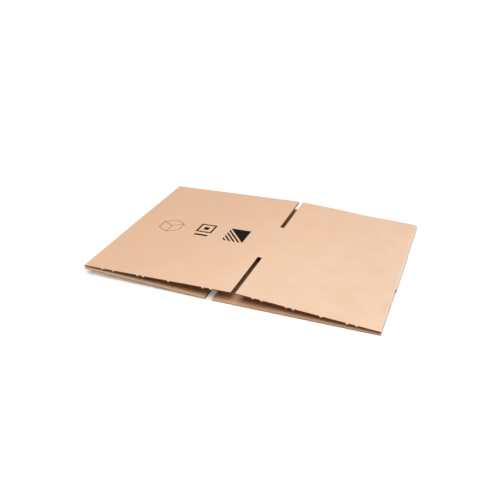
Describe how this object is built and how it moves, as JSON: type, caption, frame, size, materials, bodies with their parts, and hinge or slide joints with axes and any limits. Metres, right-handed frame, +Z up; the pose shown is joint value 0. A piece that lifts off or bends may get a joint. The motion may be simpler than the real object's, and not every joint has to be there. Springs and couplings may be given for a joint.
{
  "type": "flattened cardboard box",
  "caption": "Slotted corrugated shipping carton folded flat: a glued sleeve lying slightly open, with slotted flaps at both ends that fold up at their scores.",
  "frame": {"origin": "on the floor under the middle of the flattened carton's outline", "axes": "+X along the front edge from the raised fold to the fold that lies on the floor, +Y to the back along the flutes, +Z up"},
  "size_m": [0.4606, 0.3171, 0.02],
  "materials": {
    "kraft_board": "matte brown kraft liner on corrugated board"
  },
  "bodies": {
    "sleeve": {"sleeve": "kraft_board", "glue_tab": "kraft_board", "lower_front_short_flap": "kraft_board", "lower_front_long_flap": "kraft_board", "lower_back_short_flap": "kraft_board", "lower_back_long_flap": "kraft_board"},
    "front_long_flap": {"upper_front_long_flap": "kraft_board"},
    "front_short_flap": {"upper_front_short_flap": "kraft_board"},
    "back_long_flap": {"upper_back_long_flap": "kraft_board"},
    "back_short_flap": {"upper_back_short_flap": "kraft_board"}
  },
  "joints": [
    {"name": "front_long_fold", "type": "hinge", "parent": "sleeve", "child": "front_long_flap", "pos_m": [-0.10582, -0.052, 0.01827], "axis": [-0.9999, 0, -0.0121], "range_deg": [0, 110]},
    {"name": "front_short_fold", "type": "hinge", "parent": "sleeve", "child": "front_short_flap", "pos_m": [0.12667, -0.052, 0.01312], "axis": [-0.998, 0, 0.063], "range_deg": [0, 110]},
    {"name": "back_long_fold", "type": "hinge", "parent": "sleeve", "child": "back_long_flap", "pos_m": [-0.10582, 0.052, 0.01827], "axis": [0.9999, 0, 0.0121], "range_deg": [0, 110]},
    {"name": "back_short_fold", "type": "hinge", "parent": "sleeve", "child": "back_short_flap", "pos_m": [0.12667, 0.052, 0.01312], "axis": [0.998, 0, -0.063], "range_deg": [0, 110]}
  ]
}
